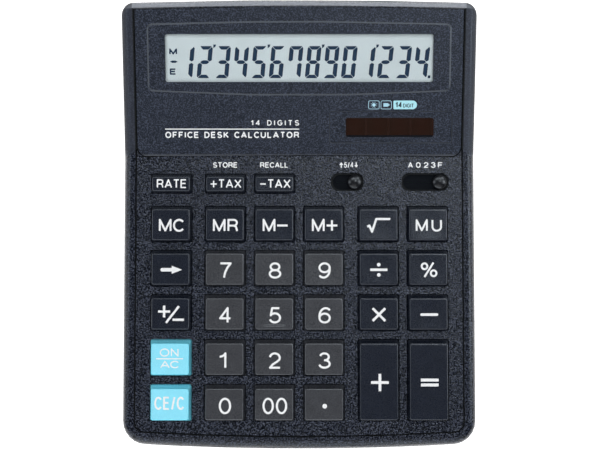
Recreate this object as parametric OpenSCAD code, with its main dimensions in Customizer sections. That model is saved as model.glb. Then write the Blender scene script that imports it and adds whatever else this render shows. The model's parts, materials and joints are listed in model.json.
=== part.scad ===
// Desk calculator with a sloping keyboard and a steeper display panel.
// X runs to the right, Y to the rear, Z up. The origin is on the table, under the middle of the case.

/* [Case] */
// Overall width
body_w = 153; // [152:0.5:156]
// Overall depth, front to rear
body_l = 192; // [191:0.5:194]
// Height of the keyboard surface at the front edge
front_h = 10; // [9.8:0.1:11]
// Distance from the front edge to the fold between keyboard and display panel
keyboard_l = 126.6; // [126.4:0.1:127]
// Slope of the keyboard, degrees
deck_tilt = 3; // [2.8:0.1:3.4]
// Slope of the display panel, degrees
display_tilt = 14; // [13:0.5:15]
// Wall thickness at the sides
wall = 2.2; // [2:0.1:2.4]
// Radius of the rolled upper edge
roll_r = 4; // [3.6:0.1:4.2]
// Radius of the front corners, seen from above
front_corner_r = 10; // [9:0.5:12]
// Radius of the rear corners, seen from above
rear_corner_r = 5.5; // [5:0.5:6]
// Radius of the gently bowed front edge
bow_r = 1170; // [1000:10:1500]
// Radius of the gently bowed rear edge
rear_bow_r = 2500; // [2000:50:4000]
// How far the feet lift the case
foot_h = 1.5; // [1.2:0.1:1.6]

/* [Keys] */
// Width of a key at its foot
key_w = 17.6; // [17.2:0.1:17.6]
// Length of a key at its foot
key_l = 15.4; // [15:0.1:15.4]
// Length of a key in the short rear row
short_key_l = 8.3; // [8:0.1:8.4]
// Height of the key tops above the deck
key_rise = 3.5; // [3:0.1:3.8]
// How far a key goes down
key_travel = 1.6; // [1.5:0.05:1.65]
// Gap between a key and its opening
key_gap = 0.25; // [0.2:0.05:0.3]

/* [Selector switches] */
// Distance between two switch positions
switch_step = 3.15; // [3:0.05:3.2]
// Diameter of the round switch knobs
knob_d = 6.2; // [6:0.1:6.3]

/* [Display] */
// Width of the visible part of the display
lcd_view_w = 114.8; // [112:0.2:115]
// Height of the visible part of the display
lcd_view_l = 20.2; // [19.6:0.2:20.4]

/* [Hidden] */
half_w = body_w / 2;
front_y = -body_l / 2;
rear_y = body_l / 2;
fold_y = front_y + keyboard_l;
fold_z = front_h + keyboard_l * tan(deck_tilt);
display_l = rear_y - fold_y;
rear_roll = 0.65;               // the rear edge rolls over a shorter distance than the sides
sliver = 0.01;
parting_z = 6;                  // height where the two case halves meet
base_z = foot_h;
base_t = 1.8;
floor_z = base_z + base_t;
fold_lap = 3;
deck_t = 2;
groove_in = 5.25;               // groove that sets the keyboard off from the border
groove_w = 0.7;
panel_bed = 0.8;                // depth of the bed that the display panel lies in
panel_wall = 1.6;               // case wall under that bed
panel_rise = 1;                 // how far the panel stands proud
panel_corner_r = 4;

// Raised field round the display window
plateau_rise = 0.45;
plateau_out = -0.2;             // where the slope round the field starts
plateau_in = 0.55;              // and where it ends
plateau_half_w = 64.9;
plateau_corner_r = 2;
plateau_ends = [28, 56.4];      // front and rear edge at the sides
plateau_middle = [26.1, 57.5];  // front and rear edge in the middle
panel_half_w = 70.05;
panel_l = 63.4;
panel_gap = 0.7;

// Key columns, left to right, and rows, rear to front, measured from the fold
columns = [-55.3, -32, -10.7, 10.6, 34.2, 55.5];
rows = [-12.1, -29.7, -48.8, -68, -87.3, -106.6];
tall_key_v = (rows[4] + rows[5]) / 2;
tall_key_l = key_l + rows[4] - rows[5];
flange_lip = 0.9;
flange_t = 0.8;
flange_d = deck_t + 0.1;        // depth of the flange's upper face under the deck
key_side_draft = 0.7;
key_rear_draft = 1.5;
key_front_draft = 0.65;
key_shell = 1.2;
key_crown_t = 0.35;             // height of the bevel round the key top
key_crown_in = 0.3;             // and how far it goes in
key_post_r = 2.4;

// Depths below the deck of the keypad sheet, the circuit board and what lies between
sheet_clear = 0.2;              // left between a pressed key and the sheet
sheet_d = flange_d + flange_t + key_travel + sheet_clear;
sheet_t = 0.8;
board_d = sheet_d + sheet_t;
board_t = 1.2;
board_half_w = 66.5;
board_front_v = -116;
board_rear_v = 14;
boss_x = [-43.65, 22.4];
boss_v = [-20.6, -58.4, -97];
boss_r = 1.7;

// Selector switches: knob place at rest and number of positions
slot_v = -11.4;
rounding_x = 24.1;
rounding_steps = 2;
decimal_x = 61;
decimal_steps = 4;
slot_w = 6.5;
slot_chamfer = 0.7;
slot_clear = 0.15;
slot_floor_d = 2.2;
slot_floor_t = 1;
stem_w = 2;
stem_l = 3;
slit_clear = 0.15;

// Display stack, as heights over the slope of the display panel
lcd_v = 42;
lens_top = 0.1;
lens_t = 0.9;
gasket_t = 0.2;
lcd_t = 2.2;
lcd_w = 122;
lcd_l = 27;
lcd_top = -panel_bed - gasket_t;
holder_top = -panel_bed - panel_wall - 0.05;
holder_t = 2.3;

// Solar cell
solar_x = 39.25;
solar_v = 12.35;
solar_view_w = 38.1;
solar_view_l = 8.3;
solar_dish_x = 39.6;
solar_dish_v = 12.5;
solar_dish_w = 53;
solar_dish_l = 13.6;
solar_dish_d = 0.75;
solar_dish_slope = 0.35;
solar_t = 1.1;
solar_top = -0.1;

// Battery compartment
door_half_w = 17;
door_front_y = 62;
door_gap = 0.15;
door_lip = 1.5;
door_lip_t = 0.8;
lip_half_w = door_half_w + door_lip;
well_half_w = 20;
well_wall = 1.2;
well_roof_z = 10.2;
cell_r = 5.8;
cell_h = 5.4;
cell_y = 76;

// Fasteners and feet
case_screw_x = 69.5;
case_screw_y = [-80, 5, 83];
case_boss_r = 2.8;
screw_seat_z = 4.3;
boss_root_d = 1.6;              // where a boss ends inside the wall above it
foot_x = 60;
foot_y = 82;
foot_r = 5.5;
lead_d = 0.8;

key_names = [
    ["key_rate", "key_tax_plus", "key_tax_minus"],
    ["key_mc", "key_mr", "key_m_minus", "key_m_plus", "key_sqrt", "key_mu"],
    ["key_backspace", "key_7", "key_8", "key_9", "key_divide", "key_percent"],
    ["key_sign", "key_4", "key_5", "key_6", "key_multiply", "key_minus"],
    ["key_on_ac", "key_1", "key_2", "key_3"],
    ["key_ce_c", "key_0", "key_00", "key_decimal"]
];
tall_key_names = ["key_plus", "key_equals"];
digit_keys = ["key_0", "key_00", "key_1", "key_2", "key_3", "key_4", "key_5", "key_6", "key_7", "key_8",
    "key_9", "key_decimal"];
clear_keys = ["key_on_ac", "key_ce_c"];

$fn = 48;

// Places its children on the keyboard slope: v along the slope from the fold, w out of the surface
module on_deck(x = 0, v = 0, w = 0) {
    translate([0, fold_y, fold_z])
        rotate([deck_tilt, 0, 0])
            translate([x, v, w])
                children();
}

// The same on the display slope
module on_display(x = 0, v = 0, w = 0) {
    translate([0, fold_y, fold_z])
        rotate([display_tilt, 0, 0])
            translate([x, v, w])
                children();
}

function arc(x, y, r, from, to, steps = 6) = [
    for (i = [0 : steps])
        let (a = from + (to - from) * i / steps)
        [x + r * cos(a), y + r * sin(a)]
];

// Half outlines of the case seen from above, as distances from the fold.
// The front half runs from the right side round the bowed front to the left side.
function front_bow(x, inset) = -keyboard_l + inset + x * x / (2 * bow_r);
function front_outline(inset) =
    let (x = half_w - front_corner_r, r = front_corner_r - inset, y = front_bow(x, 0) + front_corner_r)
    concat(
        arc(x, y, r, 0, -90),
        [for (i = [-5 : 5]) [-i * x / 6, front_bow(i * x / 6, inset)]],
        arc(-x, y, r, -90, -180)
    );
// The rear half runs from the left side round the bowed rear to the right side.
function rear_sag(x) = x * x / (2 * rear_bow_r);
function rear_outline(inset, end = display_l) =
    let (x = half_w - rear_corner_r, r = rear_corner_r - inset, y = end - rear_sag(x) - r)
    concat(
        arc(-x, y, r, 180, 90),
        [for (i = [-5 : 5]) [i * x / 6, end - rear_sag(i * x / 6)]],
        arc(x, y, r, 90, 0)
    );

// Lays the points out along a slope, so that seen from above they stay where they were
function along_slope(points, tilt) = [for (p = points) [p[0], p[1] / cos(tilt)]];

function front_half(inset) = concat(
    [[half_w - inset, fold_lap]],
    front_outline(inset),
    [[inset - half_w, fold_lap]]
);
function rear_half(inset, drop) = concat(
    [[inset - half_w, 0]],
    rear_outline(inset, display_l - rear_roll * inset - drop * sin(display_tilt)),
    [[half_w - inset, 0]]
);
function whole_outline(inset) = concat(front_outline(inset), rear_outline(inset, display_l - inset));

// Steps of the rolled edge: how far in and how far down
roll_steps = [for (a = [0 : 22.5 : 90]) [roll_r * (1 - cos(a)), roll_r * (1 - sin(a))]];

module level_slab(points, z, t) {
    translate([0, fold_y, z])
        linear_extrude(t)
            polygon(points);
}

module keyboard_body() {
    hull() {
        level_slab(front_half(0), parting_z, sliver);
        for (s = roll_steps)
            on_deck(w = -s[1] - sliver)
                linear_extrude(sliver)
                    polygon(along_slope(front_half(s[0]), deck_tilt));
    }
}

module display_body() {
    hull() {
        level_slab(rear_half(0, 0), parting_z, sliver);
        for (s = roll_steps)
            on_display(w = -s[1] - sliver)
                linear_extrude(sliver)
                    polygon(along_slope(rear_half(s[0], s[1]), display_tilt));
    }
}

module keyboard_hollow() {
    hull() {
        level_slab(front_half(wall), parting_z - 1, sliver);
        on_deck(w = -deck_t - sliver)
            linear_extrude(sliver)
                polygon(along_slope(front_half(wall), deck_tilt));
    }
}

module display_hollow() {
    inner_top = panel_bed + panel_wall;
    hull() {
        level_slab(rear_half(wall, 0), parting_z - 1, sliver);
        on_display(w = -inner_top - sliver)
            linear_extrude(sliver)
                polygon(along_slope(rear_half(wall, inner_top), display_tilt));
    }
}

module rounded_rect(w, l, r) {
    square([w - 2 * r, l], center = true);
    square([w, l - 2 * r], center = true);
    for (x = [-1, 1], y = [-1, 1])
        translate([x * (w / 2 - r), y * (l / 2 - r)])
            circle(r);
}

module box_between(low, high) {
    translate(low)
        cube(high - low);
}

// Outline of the display panel: arched lower edge, round lower corners, bowed rear edge
function panel_low_edge(x) = 0.5 * (1 - pow(x / panel_half_w, 2));
function panel_outline(grow) =
    let (w = panel_half_w + grow, r = panel_corner_r + grow, top = panel_l + grow)
    concat(
        [for (i = [5 : -1 : -5]) [i * 11, top - rear_sag(i * 11)]],
        [[-w, top - rear_sag(w)]],
        arc(r - w, r - grow, r, 180, 262, 5),
        [for (i = [-5 : 5]) [i * 10, panel_low_edge(i * 10) - min(grow, 0.1)]],
        arc(w - r, r - grow, r, 278, 360, 5),
        [[w, top - rear_sag(w)]]
    );

// Outline of the raised field round the display window: both long edges are bowed
function field_outline(inset) =
    let (
        w = plateau_half_w - inset,
        r = plateau_corner_r,
        low = plateau_ends[0] + inset,
        high = plateau_ends[1] - inset,
        front_arch = plateau_ends[0] - plateau_middle[0],
        rear_arch = plateau_middle[1] - plateau_ends[1]
    )
    concat(
        arc(r - w, low + r, r, 180, 260, 3),
        [for (i = [-5 : 5]) [i * 10.5, plateau_middle[0] + inset + front_arch * pow(i / 6, 2)]],
        arc(w - r, low + r, r, 280, 360, 3),
        arc(w - r, high - r, r, 0, 85, 3),
        [for (i = [5 : -1 : -5]) [i * 10.5, plateau_middle[1] - inset - rear_arch * pow(i / 6, 2)]],
        arc(r - w, high - r, r, 95, 180, 3)
    );

// Key openings, as [x, v, width, length]
function key_seats() = concat(
    [for (row = [0 : len(rows) - 1], col = [0 : len(key_names[row]) - 1])
        [columns[col], rows[row], key_w, row == 0 ? short_key_l : key_l]],
    [for (i = [0, 1]) [columns[4 + i], tall_key_v, key_w, tall_key_l]]
);

module selector_slot(knob_x, steps) {
    travel = steps * switch_step;
    inner_l = travel + knob_d + 2 * slot_clear;
    translate([knob_x - travel / 2, slot_v, -slot_floor_d])
        linear_extrude(slot_floor_d + 1)
            rounded_rect(inner_l, slot_w, slot_w / 2 - sliver);
    translate([knob_x - travel / 2, slot_v, -slot_chamfer])
        linear_extrude(slot_chamfer + 1)
            rounded_rect(inner_l + 2 * slot_chamfer, slot_w + 2 * slot_chamfer, slot_w / 2);
    translate([knob_x - travel / 2, slot_v, -slot_floor_d - slot_floor_t / 2])
        cube([travel + stem_l + 2 * slit_clear, stem_w + 2 * slit_clear, slot_floor_t + 1], center = true);
}

module selector_block(knob_x, steps) {
    travel = steps * switch_step;
    depth = slot_floor_d + slot_floor_t;
    translate([knob_x - travel / 2, slot_v, -depth / 2 - 0.5])
        cube([travel + knob_d + 3, slot_w + 2.4, depth - 1], center = true);
}

module border_groove() {
    groove_d = 0.9;
    on_deck(w = -groove_d)
        linear_extrude(groove_d + 1)
            difference() {
                polygon(along_slope(front_half(groove_in), deck_tilt));
                polygon(along_slope(front_half(groove_in + groove_w), deck_tilt));
            }
}

// Height of the outer surface over the base line
function surface_z(y) = fold_z + (y - fold_y) * tan(y < fold_y ? deck_tilt : display_tilt);

module case_bosses() {
    for (side = [-1, 1], y = case_screw_y)
        translate([side * case_screw_x, y, screw_seat_z])
            cylinder(r = case_boss_r, h = surface_z(y) - boss_root_d - screw_seat_z);
    on_deck()
        for (x = boss_x, v = boss_v)
            translate([x, v, -board_d])
                cylinder(r = boss_r, h = board_d - 1);
}

module top_case() {
    color("#262a33")
    difference() {
        union() {
            difference() {
                union() {
                    keyboard_body();
                    display_body();
                }
                keyboard_hollow();
                display_hollow();
            }
            case_bosses();
            on_deck() {
                selector_block(rounding_x, rounding_steps);
                selector_block(decimal_x, decimal_steps);
            }
        }
        on_display(w = -panel_bed)
            linear_extrude(6)
                polygon(panel_outline(panel_gap));
        on_display(0, lcd_v, -5)
            linear_extrude(6)
                square([lcd_w + 1, lcd_l + 1], center = true);
        on_display(solar_x, solar_v, -5)
            linear_extrude(6)
                square([solar_view_w + 4, solar_view_l + 3.6], center = true);
        on_deck(w = -deck_t - 1)
            linear_extrude(deck_t + 2)
                for (s = key_seats())
                    translate([s[0], s[1]])
                        rounded_rect(s[2] + 2 * key_gap, s[3] + 2 * key_gap, 1);
        on_deck() {
            selector_slot(rounding_x, rounding_steps);
            selector_slot(decimal_x, decimal_steps);
            for (x = boss_x, v = boss_v)
                translate([x, v, -board_d - 1])
                    cylinder(r = 0.85, h = board_d - 1.6);
        }
        border_groove();
        for (side = [-1, 1], y = case_screw_y)
            translate([side * case_screw_x, y, screw_seat_z - 1])
                cylinder(r = 1.15, h = 4.8);
    }
}

// Shallow dish round the solar window, with sloping sides
module solar_dish() {
    hull() {
        translate([solar_dish_x, solar_dish_v, panel_rise - solar_dish_d])
            linear_extrude(sliver)
                rounded_rect(solar_dish_w - solar_dish_slope, solar_dish_l - solar_dish_slope, 1);
        translate([solar_dish_x, solar_dish_v, panel_rise])
            linear_extrude(1)
                rounded_rect(solar_dish_w + solar_dish_slope, solar_dish_l + solar_dish_slope, 1.4);
    }
}

module display_panel() {
    color("#23272f")
    on_display()
        difference() {
            union() {
                translate([0, 0, -panel_bed])
                    linear_extrude(panel_bed + panel_rise)
                        polygon(panel_outline(0));
                hull() {
                    linear_extrude(panel_rise)
                        polygon(field_outline(plateau_out));
                    linear_extrude(panel_rise + plateau_rise)
                        polygon(field_outline(plateau_in));
                }
            }
            translate([0, lcd_v, 0])
                linear_extrude(5)
                    rounded_rect(lcd_view_w, lcd_view_l, 0.8);
            translate([0, lcd_v, lens_top + 0.05 - 5])
                linear_extrude(5)
                    square([lcd_view_w + 2.2, lcd_view_l + 2.2], center = true);
            translate([solar_x, solar_v, -1])
                linear_extrude(5)
                    rounded_rect(solar_view_w, solar_view_l, 1);
            translate([solar_x, solar_v, solar_top + 0.05 - 5])
                linear_extrude(5)
                    square([solar_view_w + 3, solar_view_l + 2.6], center = true);
            solar_dish();
        }
}

module door_opening() {
    box_between([-door_half_w, door_front_y, base_z - 1], [door_half_w, rear_y + 1, floor_z + sliver]);
    box_between([-lip_half_w - door_gap, rear_y - 3.5, floor_z], [lip_half_w + door_gap, rear_y + 1, 9]);
}

module battery_well() {
    difference() {
        box_between([-well_half_w, 58, floor_z - 0.5], [well_half_w, 92, well_roof_z + well_wall]);
        box_between(
            [-well_half_w + well_wall, 58 + well_wall, floor_z - 1],
            [well_half_w - well_wall, 92 - well_wall, well_roof_z]
        );
        box_between([-well_half_w + well_wall, 85, floor_z], [well_half_w - well_wall, 95, floor_z + 1.1]);
        for (x = [4, 14])
            translate([x, 66, well_roof_z - 1])
                cylinder(r = 0.9, h = 4);
    }
    // shelves that keep the door's side lips down
    for (side = [-1, 1])
        translate([side * (door_half_w + 1.2), 76, floor_z + 1.6])
            cube([3, 28, 1], center = true);
    // ring round the cell
    difference() {
        translate([0, cell_y, floor_z + 1.4])
            cylinder(r = cell_r + 1.4, h = well_roof_z - floor_z - 1.4 + sliver);
        translate([0, cell_y, floor_z])
            cylinder(r = cell_r + 0.25, h = 20);
        box_between([3, cell_y - 4.5, floor_z], [12, cell_y + 4.5, well_roof_z]);
        box_between([-4.1, 60, well_roof_z - 0.35], [5, cell_y, well_roof_z]);
    }
}

// Outer form of the lower case half, rounded towards the table
module base_shape() {
    hull() {
        level_slab(whole_outline(0), 3.8, parting_z - 3.8);
        level_slab(whole_outline(0.7), 2.3, sliver);
        level_slab(whole_outline(2.2), base_z, sliver);
    }
}

module bottom_case() {
    color("#20232a")
    difference() {
        union() {
            difference() {
                base_shape();
                level_slab(whole_outline(wall), floor_z, 5);
            }
            // lip that stands inside the top case
            difference() {
                level_slab(whole_outline(wall + 0.1), floor_z - 0.5, 4.6);
                level_slab(whole_outline(wall + 1.1), floor_z - 1, 6);
            }
            for (side = [-1, 1], y = case_screw_y)
                translate([side * case_screw_x, y, floor_z - 0.5])
                    cylinder(r = case_boss_r, h = screw_seat_z - floor_z + 0.5);
            battery_well();
        }
        door_opening();
        for (side = [-1, 1], y = case_screw_y)
            translate([side * case_screw_x, y, base_z - 1]) {
                cylinder(r = 1.3, h = 6);
                cylinder(r = 2.7, h = 2.5);
            }
        for (x = [-foot_x, foot_x], y = [-foot_y, foot_y])
            translate([x, y, base_z - 1])
                cylinder(r = foot_r + 0.1, h = 1.5);
        // grip hollow in front of the battery door
        translate([0, door_front_y, base_z - 4.4])
            rotate([0, 90, 0])
                cylinder(r = 5, h = 16, center = true);
    }
}

module battery_cover() {
    grip_n = 4;
    inside_z = floor_z + 0.05;
    color("#20232a")
    difference() {
        intersection() {
            base_shape();
            union() {
                box_between(
                    [-door_half_w + door_gap, door_front_y + door_gap, base_z - 1],
                    [door_half_w - door_gap, rear_y + 1, inside_z + sliver]
                );
                // side lips and front tongue that run on the inside of the base
                box_between(
                    [-lip_half_w, door_front_y + door_gap, inside_z],
                    [lip_half_w, rear_y + 1, inside_z + door_lip_t]
                );
                box_between(
                    [-door_half_w + 2, door_front_y - 1.4, inside_z],
                    [door_half_w - 2, door_front_y + 2, inside_z + door_lip_t]
                );
                box_between([-lip_half_w, rear_y - 2.2, inside_z], [lip_half_w, rear_y + 1, parting_z - 0.1]);
            }
        }
        // hollow inside, so that the door is a tray
        box_between(
            [-door_half_w + 2.5, door_front_y + 2.5, floor_z - 0.3],
            [door_half_w - 2.5, rear_y - 3, floor_z + 2]
        );
        for (i = [0 : grip_n - 1])
            translate([0, door_front_y + 6 + 2.2 * i, base_z])
                cube([14, 1.1, 0.8], center = true);
    }
}

module lcd_window() {
    color("#dfe9ec")
    on_display(0, lcd_v, lens_top - lens_t)
        linear_extrude(lens_t)
            square([lcd_view_w + 2, lcd_view_l + 2], center = true);
}

module lcd_gasket() {
    color("#1c1c1c")
    on_display(0, lcd_v, lcd_top)
        linear_extrude(gasket_t)
            difference() {
                square([lcd_w - 1, lcd_l - 0.4], center = true);
                square([lcd_view_w + 1.2, lcd_view_l + 1.2], center = true);
            }
}

module lcd_glass() {
    color("#c4d6db")
    on_display(0, lcd_v, lcd_top - lcd_t)
        linear_extrude(lcd_t)
            square([lcd_w, lcd_l], center = true);
}

module lcd_holder() {
    color("#d8d8d4")
    on_display(0, lcd_v, holder_top - holder_t)
        difference() {
            linear_extrude(holder_t)
                square([lcd_w + 5, lcd_l + 4.4], center = true);
            translate([0, 0, lcd_top - lcd_t - 0.05 - (holder_top - holder_t)])
                linear_extrude(5)
                    square([lcd_w + 0.2, lcd_l + 0.2], center = true);
            translate([0, 0, -1])
                linear_extrude(5)
                    square([104, lcd_l - 3], center = true);
        }
}

// A flat strip that leaves the board, bends up and lies against the underside of the display
module lcd_ribbon() {
    t = 0.2;
    off = t / 2 + 0.02;
    function over_board(y) =
        [y, fold_z + (y - fold_y) * tan(deck_tilt) - board_d / cos(deck_tilt) + off];
    function under_lcd(y) =
        [y, fold_z + (y - fold_y) * tan(display_tilt) + (lcd_top - lcd_t) / cos(display_tilt) - off];
    route = [
        over_board(36.8), over_board(41.4), [46, 12.9], [52, 14.2], [57.5, 16.4], [61.2, 18.1],
        [63.4, 20.2], under_lcd(65.2), under_lcd(68.6)
    ];
    color("#c8a24a")
    translate([-52, 0, 0])
        rotate([90, 0, 90])
            linear_extrude(50)
                polygon(concat(
                    [for (p = route) p - [0, t / 2]],
                    [for (i = [len(route) - 1 : -1 : 0]) route[i] + [0, t / 2]]
                ));
}

module solar_cell() {
    color("#2a1a14")
    on_display(solar_x, solar_v, solar_top - solar_t)
        linear_extrude(solar_t)
            square([solar_view_w + 2.8, solar_view_l + 2.4], center = true);
}

// Points on the two slopes, as seen from the base line
function deck_point(x, v, w) =
    [x, fold_y + v * cos(deck_tilt) - w * sin(deck_tilt), fold_z + v * sin(deck_tilt) + w * cos(deck_tilt)];
function display_point(x, v, w) =
    [x, fold_y + v * cos(display_tilt) - w * sin(display_tilt),
        fold_z + v * sin(display_tilt) + w * cos(display_tilt)];

// A round wire through the given points, with a solder bead at each bend
module wire(points, d) {
    for (i = [0 : len(points) - 2]) {
        run = points[i + 1] - points[i];
        translate(points[i])
            rotate([0, acos(run[2] / norm(run)), atan2(run[1], run[0])])
                cylinder(d = d, h = norm(run), $fn = 16);
    }
    for (i = [1 : len(points) - 2])
        translate(points[i])
            sphere(d = 1.2 * d, $fn = 16);
}

module solar_leads() {
    color("#b02020")
    for (x = [30, 48])
        wire([
            display_point(x, solar_v, solar_top - solar_t - 0.12),
            deck_point(x, 12, -3.2),
            deck_point(x, 10, -board_d + 0.4)
        ], lead_d);
}

module battery_leads() {
    color("#303030")
    for (x = [4, 14])
        wire([
            [x, 66, well_roof_z + 0.02],
            [x, 66, well_roof_z + 2.4],
            [x, 52, 13.4],
            deck_point(x, 12, -board_d + 0.4)
        ], lead_d);
}

module keypad_outline() {
    difference() {
        union() {
            translate([-65, board_front_v])
                square([130, 95.4]);
            translate([-65, -30])
                square([66.5, 23.2]);
        }
        for (x = boss_x, v = boss_v)
            translate([x, v])
                circle(2.1);
    }
}

module rubber_keypad() {
    dome_top = flange_d + flange_t + 0.05;
    color("#6d6d70")
    on_deck() {
        translate([0, 0, -sheet_d - sheet_t])
            linear_extrude(sheet_t)
                keypad_outline();
        for (s = key_seats())
            translate([s[0], s[1], -sheet_d - sliver])
                cylinder(
                    r1 = s[3] < 10 ? 3.4 : 4.4,
                    r2 = key_post_r,
                    h = sheet_d - dome_top + sliver
                );
    }
}

module main_pcb() {
    color("#2e5a34")
    on_deck(w = -board_d - board_t)
        linear_extrude(board_t)
            difference() {
                translate([-board_half_w, board_front_v])
                    square([2 * board_half_w, board_rear_v - board_front_v]);
                for (x = boss_x, v = boss_v)
                    translate([x, v])
                        circle(1);
            }
}

module controller_chip() {
    color("#101010")
    on_deck(0, -2, -board_d - board_t)
        mirror([0, 0, 1]) {
            cylinder(r = 6, h = 0.5);
            cylinder(r1 = 5, r2 = 3, h = 1.3);
        }
}

module capacitor() {
    can_r = 2.5;
    color("#24304a")
    on_deck(-36, 4, -board_d - board_t - can_r - 0.1) {
        rotate([0, 90, 0])
            cylinder(r = can_r, h = 11);
        for (y = [-1.2, 1.2])
            translate([11 - sliver, y, 0]) {
                rotate([0, 90, 0])
                    cylinder(r = 0.3, h = 1.5);
                translate([1.2, 0, 0])
                    cylinder(r = 0.3, h = can_r + 0.1);
            }
    }
}

module button_cell() {
    color("#c9ccd0")
    translate([0, cell_y, well_roof_z - 0.3 - cell_h]) {
        translate([0, 0, 0.4])
            cylinder(r = cell_r, h = cell_h - 0.4);
        cylinder(r = cell_r - 0.5, h = 0.5);
    }
}

module battery_contact_minus() {
    color("#d8d4c8")
    box_between([-4, 62, well_roof_z - 0.3], [4.9, cell_y + 4, well_roof_z]);
}

module battery_contact_plus() {
    color("#d8d4c8")
    union() {
        box_between([cell_r + 0.05, cell_y - 2, 5.4], [cell_r + 0.35, cell_y + 2, well_roof_z]);
        box_between([cell_r + 0.05, 64, well_roof_z - 0.3], [15, cell_y + 2, well_roof_z]);
    }
}

module selector(knob_x) {
    foot_top = slot_floor_d + slot_floor_t + 0.1;
    on_deck(knob_x, slot_v) {
        // round knob with a domed crown
        translate([0, 0, -slot_floor_d + 0.1])
            cylinder(d = knob_d, h = slot_floor_d + 0.3);
        translate([0, 0, 0.35])
            intersection() {
                cylinder(d = knob_d, h = 3);
                translate([0, 0, -2.6])
                    sphere(r = 4.2);
            }
        translate([-stem_l / 2, -stem_w / 2, -foot_top - 0.1])
            cube([stem_l, stem_w, foot_top]);
        translate([-4, -2.5, -foot_top - 1.2])
            cube([8, 5, 1.2]);
    }
}

module rounding_slider() {
    color("#15161a")
    selector(rounding_x);
}

module decimal_slider() {
    color("#15161a")
    selector(decimal_x);
}

// Spring leaf under a selector, with two round contacts that run on the board
module wiper(knob_x) {
    leaf_top = slot_floor_d + slot_floor_t + 1.3;
    color("#c9a24a")
    on_deck(knob_x, slot_v) {
        translate([-3.5, -1, -leaf_top - 0.25])
            cube([7, 2, 0.25]);
        for (x = [-2.6, 2.6])
            translate([x, 1, -board_d + 0.45])
                rotate([90, 0, 0])
                    cylinder(r = 0.4, h = 2, $fn = 24);
    }
}

module rounding_wiper() {
    wiper(rounding_x);
}

module decimal_wiper() {
    wiper(decimal_x);
}

module case_screws() {
    color("#9a9da2")
    for (side = [-1, 1], y = case_screw_y)
        translate([side * case_screw_x, y, base_z + 0.1])
            difference() {
                union() {
                    cylinder(r = 2.5, h = 1.4);
                    cylinder(r = 1.1, h = 6.2);
                }
                for (a = [0, 90])
                    rotate(a)
                        cube([3, 0.7, 1.2], center = true);
            }
}

module pcb_screws() {
    color("#9a9da2")
    on_deck()
        for (x = boss_x, v = boss_v)
            translate([x, v, -board_d - board_t - 0.9]) {
                cylinder(r = 1.9, h = 0.9);
                cylinder(r = 0.8, h = board_t + 3);
            }
}

module rubber_feet() {
    color("#303134")
    for (x = [-foot_x, foot_x], y = [-foot_y, foot_y])
        translate([x, y, 0]) {
            cylinder(r1 = foot_r - 0.5, r2 = foot_r, h = 0.6);
            translate([0, 0, 0.6 - sliver])
                cylinder(r = foot_r, h = foot_h + 0.5 - 0.6 + sliver);
        }
}

// A key at its place: tapered cap, retaining flange, hollow inside with a post over its dome
module keycap(x, v, w, l) {
    foot_d = flange_d + flange_t;
    top_w = w - 2 * key_side_draft;
    top_l = l - key_rear_draft - key_front_draft;
    top_v = (key_front_draft - key_rear_draft) / 2;
    on_deck(x, v)
        difference() {
            union() {
                hull() {
                    translate([0, 0, -foot_d])
                        linear_extrude(foot_d + 0.2)
                            rounded_rect(w, l, 0.8, $fn = 16);
                    translate([0, top_v, key_rise - key_crown_t])
                        linear_extrude(sliver)
                            rounded_rect(top_w, top_l, 0.9, $fn = 16);
                    translate([0, top_v, key_rise - sliver])
                        linear_extrude(sliver)
                            rounded_rect(top_w - 2 * key_crown_in, top_l - 2 * key_crown_in, 0.7, $fn = 16);
                }
                translate([0, 0, -flange_d - flange_t / 2])
                    cube([w + 2 * flange_lip, l + 2 * flange_lip, flange_t], center = true);
            }
            difference() {
                translate([0, top_v / 2, -foot_d - 1])
                    linear_extrude(foot_d + 1 + key_rise - 1.6)
                        square([top_w - 2 * key_shell, top_l - 2 * key_shell], center = true);
                translate([0, 0, -foot_d])
                    cylinder(r = key_post_r, h = 8);
            }
        }
}

function key_tint(name) =
    len([for (n = digit_keys) if (n == name) n]) > 0 ? "#3c3c40"
    : len([for (n = clear_keys) if (n == name) n]) > 0 ? "#7fd7f5"
    : "#1f2430";

// Draws the key of this name, whichever row it is in
module named_key(name) {
    color(key_tint(name)) {
        for (row = [0 : len(rows) - 1], col = [0 : len(key_names[row]) - 1])
            if (key_names[row][col] == name)
                keycap(columns[col], rows[row], key_w, row == 0 ? short_key_l : key_l);
        for (i = [0, 1])
            if (tall_key_names[i] == name)
                keycap(columns[4 + i], tall_key_v, key_w, tall_key_l);
    }
}

top_case();
display_panel();
bottom_case();
lcd_window();
lcd_gasket();
lcd_glass();
lcd_holder();
lcd_ribbon();
solar_cell();
solar_leads();
main_pcb();
controller_chip();
capacitor();
rubber_keypad();
button_cell();
battery_contact_plus();
battery_contact_minus();
battery_leads();
battery_cover();
rounding_slider();
rounding_wiper();
decimal_slider();
decimal_wiper();
case_screws();
pcb_screws();
rubber_feet();
for (row = key_names, name = row)
    named_key(name);
for (name = tall_key_names)
    named_key(name);
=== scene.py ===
"""Looks for a desk calculator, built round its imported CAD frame. Lengths in tables are in millimetres."""

import math

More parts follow.
